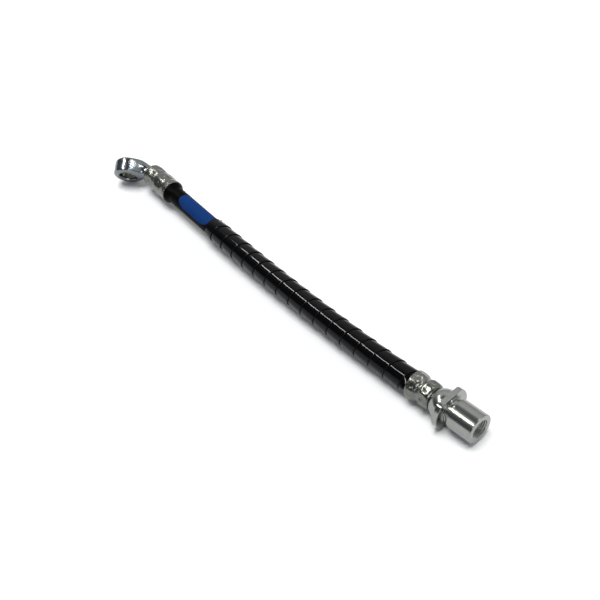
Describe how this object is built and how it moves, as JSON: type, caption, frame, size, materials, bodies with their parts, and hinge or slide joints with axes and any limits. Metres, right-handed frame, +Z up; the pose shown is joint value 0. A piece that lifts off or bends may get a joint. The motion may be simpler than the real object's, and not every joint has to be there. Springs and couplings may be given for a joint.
{
  "type": "hydraulic clutch hose",
  "caption": "Short flexible clutch hose with a bent banjo eye, a female threaded end with a bracket flange, and a black spiral guard over the rubber.",
  "frame": {"origin": "on the floor, under the centre of the box round the whole hose as it lies at rest", "axes": "+X along the axis of the threaded bracket fitting and out of its mouth, +Z up, +Y to the side that the hose bends to at its banjo end"},
  "size_m": [0.294, 0.0324, 0.0192],
  "materials": {
    "fitting_steel": "bright zinc plate, turned",
    "ferrule_steel": "bright zinc plate, pressed and crimped",
    "inner_rubber": "smooth",
    "braid": "woven cord",
    "cover_rubber": "satin",
    "guard_plastic": "glossy",
    "mark_blue": "flat blue paint"
  },
  "bodies": {
    "root": {"bracket_fitting": "fitting_steel", "bracket_ferrule": "ferrule_steel", "banjo_fitting": "fitting_steel", "banjo_ferrule": "ferrule_steel", "hose_inner_tube": "inner_rubber", "hose_inner_braid": "braid", "hose_outer_braid": "braid", "hose_cover": "cover_rubber", "spiral_guard": "guard_plastic", "identification_mark": "mark_blue"}
  },
  "joints": []
}
